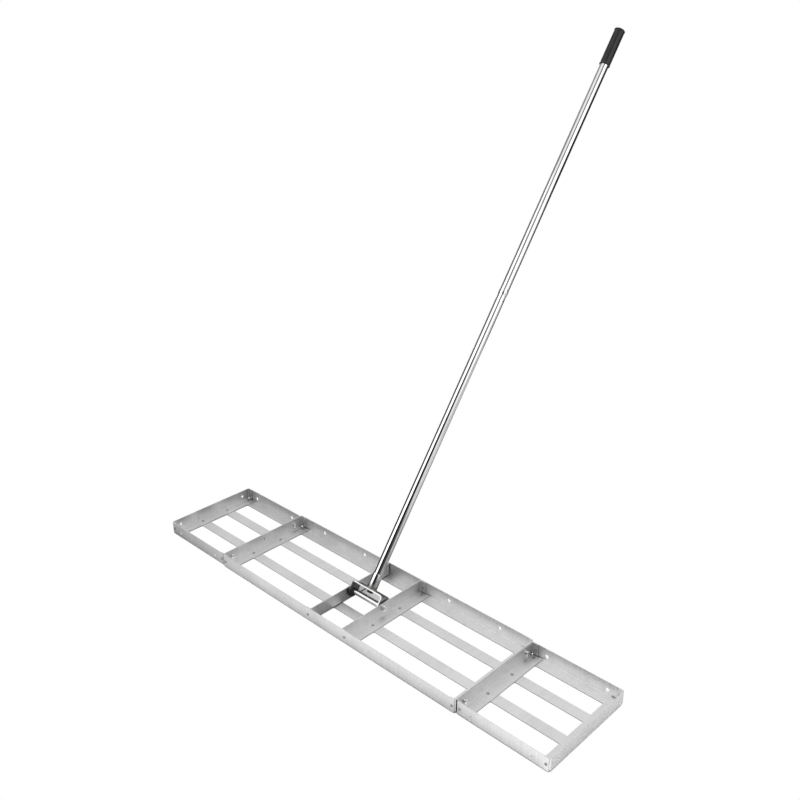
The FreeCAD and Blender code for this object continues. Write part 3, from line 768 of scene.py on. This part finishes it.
def make_weld(steel):
    """A fillet bead of overlapping ripples round the socket's foot."""
    foot, _ = pole_span("handle_socket", SOCKET_RADIUS)
    ripples, waves, steps = 34, 5, 8

    def bead(angle, turn):
        """A point on the bead, at an angle up from the web and a share of a turn."""
        swell = 0.8 + 0.2 * sqrt(1 - (2 * ((ripples * turn) % 1.0) - 1) ** 2)
        wander = 1 + 0.05 * sin(waves * 2 * pi * turn)
        hollow = 0.72 + 0.28 * cos(2 * angle) ** 2
        reach = min(WELD_LEG * swell * wander * hollow, WELD_LEG)
        return SOCKET_RADIUS + reach * cos(angle), foot + reach * sin(angle)

    root = circle(WELD_SEGMENTS, SOCKET_RADIUS, foot)
    rings = [root]
    for step in range(steps + 1):
        angle = radians(90 * step / steps)
        rings.append(ring(WELD_SEGMENTS, lambda turn: bead(angle, turn)))
    rings.append(root)
    make_piece("socket_weld_bead", moved(ring_grid(rings), POLE), "handle", steel,
               ["socket_weld"], sharp_angle=60)


def make_tubes(chrome):
    """The two tubes: the lower one's top is swaged in, the upper one's foot is belled out."""
    start, seam = pole_span("lower_tube", TUBE_RADIUS)
    _, end = pole_span("upper_tube", TUBE_RADIUS)
    bore = TUBE_RADIUS - TUBE_WALL
    lip = 0.4 * MM
    slope = 2.5 * MM
    ease = 0.05 * MM
    neck = seam - FORMED_LENGTH
    lower = turned([
        (bore, start), (TUBE_RADIUS, start), (TUBE_RADIUS, neck - slope),
        (TUBE_RADIUS - ease, neck - slope * 0.6), (SWAGE_RADIUS + ease, neck - slope * 0.2),
        (SWAGE_RADIUS, neck), (SWAGE_RADIUS, seam - lip), (SWAGE_RADIUS - lip, seam),
        (bore, seam)], POLE_SEGMENTS)
    make_piece("lower_tube_drawn", moved(lower, POLE), "handle", chrome,
               ["lower_tube"])
    mouth = seam + FORMED_LENGTH
    upper = turned([
        (bore, seam), (BELL_RADIUS - lip, seam)]
        + arc(BELL_RADIUS - lip, seam + lip, lip, -90, 0, 4)
        + [(BELL_RADIUS, mouth - slope), (BELL_RADIUS - ease, mouth - slope * 0.8),
           (TUBE_RADIUS + ease, mouth - slope * 0.4), (TUBE_RADIUS, mouth),
           (TUBE_RADIUS, end), (bore, end)], POLE_SEGMENTS)
    make_piece("upper_tube_drawn", moved(upper, POLE), "handle", chrome,
               ["upper_tube"])


def make_grip(rubber):
    """A moulded grip: fine slanting ribs, a rolled rim at each end and a dished closed end."""
    start, end = pole_span("handle_grip", GRIP_RIM_RADIUS)
    rim = 3.0 * MM
    body_start, body_end = start + 1.4 * rim, end - 1.4 * rim
    rows = 150
    ribs, rib_height, rib_turns, rib_fade = 36, 0.32 * MM, 0.9, 2 * MM
    # share of the rim's radius, and depth in millimetres below the end
    closed_end = ((0.8, 0.0), (0.68, 0.25), (0.5, 0.3), (0.25, 0.3), (0.1, 0.3), (0.07, 1.2),
                  (0.0, 1.2))

    def ribbed(height, turn):
        inside = min(height - start - 2 * rim, end - 2 * rim - height)
        fade = max(0.0, min(1.0, inside / rib_fade))
        slant = rib_turns * (height - start) / (end - start)
        phase = (ribs * (turn + slant)) % 1.0
        rise = sqrt(max(0.0, 1 - (2 * phase - 1) ** 2))
        return GRIP_RADIUS - rib_height + fade * rib_height * rise, height

    def rolled(centre, first, last):
        return [circle(GRIP_SEGMENTS, radius, height) for radius, height in
                arc(GRIP_RIM_RADIUS - rim / 2, centre, rim / 2, first, last, 8)]

    rings = [circle(GRIP_SEGMENTS, TUBE_RADIUS, start + rim / 2),
             circle(GRIP_SEGMENTS, TUBE_RADIUS + 0.3 * MM, start)]
    rings += rolled(start + rim / 2, -90, 80)
    for row in range(rows + 1):
        height = body_start + (body_end - body_start) * row / rows
        rings.append(ring(GRIP_SEGMENTS, lambda turn: ribbed(height, turn)))
    rings += rolled(end - rim / 2, -80, 75)
    for share, depth in closed_end:
        rings.append(circle(GRIP_SEGMENTS, GRIP_RIM_RADIUS * share, end - depth * MM))
    make_piece("rubber_grip_moulded", moved(ring_grid(rings), POLE), "handle",
               rubber, ["handle_grip"], sharp_angle=60)


def make_socket_bolt(shade_darkened_steel, zinc):
    """The bolt under the yoke's web, with its washer."""
    def below(height):
        """Local Z down the pole from a height along it."""
        return POLE @ Matrix.Translation((0, 0, height)) @ UPSIDE_DOWN

    washer_start, washer_end = pole_span("socket_washer", SOCKET_WASHER_RADIUS)
    shape = washer(SOCKET_WASHER_RADIUS, M8_WASHER_BORE, washer_end - washer_start)
    make_piece("socket_washer_stamped", moved(shape, below(washer_end)), "handle",
               zinc, ["socket_washer"])
    shape = bolt(M8, SOCKET_BOLT_LENGTH, plain=SOCKET_BOLT_PLAIN)
    # the bolt's steel is painted near black as shade
    make_piece("socket_bolt_threaded", moved(shape, below(washer_start)), "handle",
               shade_darkened_steel, ["socket_bolt"])


def make_sleeve(steel):
    """The tube that keeps the yoke's ears apart, its outer edges bevelled."""
    low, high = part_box("axle_sleeve")
    outer, length, bevel = (high.z - low.z) / 2, high.x - low.x, 0.4 * MM
    shape = turned([
        (SLEEVE_BORE, 0), (outer - bevel, 0), (outer, bevel), (outer, length - bevel),
        (outer - bevel, length), (SLEEVE_BORE, length)], WASHER_SEGMENTS)
    place = facing(face_centre((low, high), 0, LOW), (1, 0, 0))
    make_piece("axle_sleeve_turned", moved(shape, place), "handle", steel,
               ["axle_sleeve"])


# ---- camera, floor and light ----------------------------------------------------------------

def make_camera():
    """The camera fitted to the photograph."""
    azimuth, elevation, roll = radians(44.056), radians(23.528), radians(-0.346)
    place = Matrix.Translation((1.32441, -1.25448, 1.31963))
    data = bpy.data.cameras.new("camera")
    data.sensor_width = 36.0
    data.lens = 42.258
    data.clip_start = 0.05
    data.clip_end = 400.0
    camera = bpy.data.objects.new("camera", data)
    bpy.context.scene.collection.objects.link(camera)
    aim = Matrix.Rotation(azimuth, 4, "Z") @ Matrix.Rotation(pi / 2 - elevation, 4, "X")
    camera.matrix_world = place @ aim @ Matrix.Rotation(roll, 4, "Z")
    bpy.context.scene.camera = camera


def seen_or_reflected(graph, seen, reflected):
    """One closure for what the camera sees directly and one for what lights the object."""
    direct = graph.tree.nodes.new("ShaderNodeLightPath").outputs["Is Camera Ray"]
    choice = graph.tree.nodes.new("ShaderNodeMixShader")
    graph.link(direct, choice.inputs["Fac"])
    graph.link(reflected, choice.inputs[1])
    graph.link(seen, choice.inputs[2])
    return choice.outputs["Shader"]


FLOOR_RADIUS = 1.5
FLOOR_DROP = 0.2 * MM           # just clear of the head's underside
FLOOR_TONES_REACH = 0.8         # to each side, along X
# where each edge of a region on the floor starts to change and where it's done, in X or Y
SHELTER_FRONT_Y = (-0.16, -0.12)
SHELTER_RIGHT_X = (0.58, 0.605)
GLOW_FRONT_Y = (-0.5, -0.35)
GLOW_BACK_Y = (-0.13, -0.12)


def make_floor():
    """A floor that the camera sees plain white and that lights the object more softly."""
    mesh = bpy.data.meshes.new("floor")
    mesh.from_pydata(circle(FLOOR_SEGMENTS, FLOOR_RADIUS, 0), [], [tuple(range(FLOOR_SEGMENTS))])
    floor = bpy.data.objects.new("floor", mesh)
    floor.location.z = -FLOOR_DROP
    bpy.context.scene.collection.objects.link(floor)

    # the colour that lights the object holds painted shade and a painted glow
    shader = Shader("floor_painted_light", metallic=0.0, roughness=0.9, Specular_IOR_Level=0.0)
    x, y, _ = shader.separate(shader.coordinates)
    sideways = shader.rise(x, -FLOOR_TONES_REACH, FLOOR_TONES_REACH)

    # painted shade: darker towards -X, with a painted shadow below the frame and behind it
    sideways_painted_shade = shader.greys(sideways, [(0.0, 0.5), (0.22, 0.6), (0.3, 0.85), (0.5, 0.95), (1.0, 0.98)])
    sheltered = shader.product([shader.rise(y, *SHELTER_FRONT_Y), shader.fall(x, *SHELTER_RIGHT_X)])
    shade = shader.greys(sheltered, [(0.0, 1.0), (1.0, 0.4)])
    shader.colour(shader.multiply(sideways_painted_shade, shade))

    # a glow on the strip in front of the frame, for the front rails
    glow = shader.greys(sideways, [
        (0.1, 0.0), (0.2, 0.14), (0.32, 0.22), (0.7, 0.18), (0.82, 0.38)])
    strip = shader.product([shader.rise(y, *GLOW_FRONT_Y), shader.fall(y, *GLOW_BACK_Y)])
    glow = shader.multiply(glow, shader.greys(strip, [(0.0, 0.0), (1.0, 1.0)]))
    shader.link(glow, shader.surface.inputs["Emission Color"])
    shader.surface.inputs["Emission Strength"].default_value = 1.0
    shader.material.cycles.emission_sampling = "NONE"

    # what the camera sees: white, with painted contact shade, a thin dark line, where the head
    # stands
    white = shader.tree.nodes.new("ShaderNodeEmission")
    shader.link(shader.painted_crevice_shade(8 * MM, darkest=0.1, closed=0.3, clear=0.45), white.inputs["Color"])
    output = shader.tree.nodes["Material Output"]
    shader.link(seen_or_reflected(shader, white.outputs[0], shader.surface.outputs["BSDF"]),
                output.inputs["Surface"])
    mesh.materials.append(shader.material)


def add_light(name, place, aim, width, height, power):
    data = bpy.data.lights.new(name, "AREA")
    data.shape = "RECTANGLE"
    data.size = width
    data.size_y = height
    data.energy = power
    light = bpy.data.objects.new(name, data)
    light.location = place
    direction = Vector(aim) - Vector(place)
    light.rotation_euler = direction.to_track_quat("-Z", "Y").to_euler()
    bpy.context.scene.collection.objects.link(light)


def make_world():
    """White walls all round, with the dark panels and gaps that the plating reflects."""
    world = bpy.data.worlds.new("studio")
    bpy.context.scene.world = world
    graph = Graph(world)
    direction = graph.tree.nodes.new("ShaderNodeTexCoord").outputs["Generated"]
    x, y, z = graph.separate(direction)

    def above(axis, edge, soft=0.03):
        return graph.rise(axis, edge - soft, edge + soft, smooth=True)

    def below(axis, edge, soft=0.03):
        return graph.fall(axis, edge - soft, edge + soft, smooth=True)

    def by_height(stops):
        """Greys for the Z of a direction, from -1 straight down to 1 straight up."""
        return graph.greys(graph.rise(z, -1.0, 1.0),
                           [((height + 1) / 2, level) for height, level in stops])

    def slanted(axis, rise):
        """Grows upward and, by the rise, along an axis."""
        return graph.combine("ADD", z, graph.combine("MULTIPLY", axis, rise))

    # each panel: its greys by height, and the edges that bound it
    panels = [
        # behind on the left, a little dimmer
        ([(-1.0, 0.7), (1.0, 0.8)],
         [below(x, -0.55, soft=0.15), above(y, 0.3, soft=0.1)]),
        # right, below the horizon and above it
        ([(-0.3, 0.5), (-0.2, 0.43), (-0.1, 0.62), (0.0, 0.74), (0.2, 0.92), (0.55, 0.9),
          (0.7, 0.55)],
         [above(x, 0.7, soft=0.08)]),
        # right and in front, low
        ([(-0.3, 0.35), (-0.1, 0.22), (0.05, 0.14), (0.13, 0.1)],
         [above(x, 0.6), below(slanted(y, rise=0.69), -0.02, soft=0.05),
          below(y, 0.05, soft=0.05), below(z, 0.3)]),
        # behind, along the horizon
        ([(-0.5, 0.02), (0.14, 0.02)],
         [above(y, 0.4, soft=0.05), above(z, -0.5), below(z, 0.17),
          above(slanted(x, rise=-1.09), -0.89)]),
        # left, high
        ([(0.35, 0.12), (0.6, 0.22), (0.7, 0.25)],
         [below(x, -0.52, soft=0.06), above(y, -0.62, soft=0.05), below(y, 0.1, soft=0.1),
          above(z, 0.38), below(z, 0.72)]),
        # left, low
        ([(-0.35, 0.03), (0.22, 0.03), (0.32, 0.15), (0.5, 0.3), (0.6, 0.3)],
         [below(x, -0.57, soft=0.04), above(y, -0.64), below(y, 0.28, soft=0.08),
          above(z, -0.4), below(z, 0.6)]),
        # the doorway in front
        ([(0.45, 0.035), (0.52, 0.0), (0.66, 0.07)],
         [above(x, 0.07), below(slanted(x, rise=1.67), 1.745, soft=0.05), below(y, -0.2),
          above(z, 0.22), below(z, 0.71)]),
        # the slit above the doorway
        ([(0.68, 0.2), (0.8, 0.26)],
         [above(x, 0.18), below(x, 0.72), below(y, 0.0, soft=0.1), above(z, 0.71)]),
    ]
    level = by_height([(-1.0, 0.8), (0.0, 0.8), (0.3, 0.97)])
    for stops, edges in panels:
        level = graph.mix(graph.product(edges), level, by_height(stops))
    walls = graph.tree.nodes["Background"]
    graph.link(level, walls.inputs["Color"])
    white = graph.tree.nodes.new("ShaderNodeBackground")
    white.inputs["Color"].default_value = (1, 1, 1, 1)
    output = graph.tree.nodes["World Output"]
    graph.link(seen_or_reflected(graph, white.outputs[0], walls.outputs[0]),
               output.inputs["Surface"])


def make_studio():
    make_camera()
    make_floor()
    make_world()
    add_light("key", (-1.0, -2.1, 2.6), aim=(0, -0.1, 0), width=2.6, height=2.6, power=28)
    add_light("fill", (2.6, 0.6, 2.2), aim=(0, 0, 0), width=1.6, height=2.6, power=14)
    bpy.context.scene.view_settings.view_transform = "Standard"


# ---- build ----------------------------------------------------------------------------------

make_studio()
rail_sheet = brushed_sheet("brushed_rail", along_x=True, light=0.74)
bar_sheet = brushed_sheet("brushed_bar", along_x=False, light=0.72)
zinc = zinc_steel()
chrome = chromed_tube()
socket_foot = POLE @ Vector((0, 0, SOCKET_FOOT))
across_web = POLE.to_3x3() @ Vector((0, 1, 0))
along_pole = POLE.to_3x3() @ Vector((0, 0, 1))
yoke_steel = folded_yoke(socket_foot, along_pole, across_web)

# CAD nodes that keep their own mesh show these; the rest get zinc, and most of them are replaced
# below
for name, node in nodes.items():
    if name.endswith("_bar"):
        material = bar_sheet
    elif name.endswith(("_rail", "_slat")):
        material = rail_sheet
    elif name == "yoke_bracket":
        material = yoke_steel
    else:
        material = zinc
    node.data.materials.clear()
    node.data.materials.append(material)

rivets = rivet_steel()
for section in ("centre", "left_wing", "right_wing"):
    make_rivets(section, rivets)
for side in ("left", "right"):
    make_joint_fasteners(side, zinc)
make_axle(zinc, nylon())
make_sleeve(chrome)
make_socket_bolt(painted_shade_bolt_steel(), zinc)
make_socket(polished_socket(socket_foot))
make_weld(weld_bead_steel(socket_foot))
make_tubes(chrome)
make_grip(black_rubber())
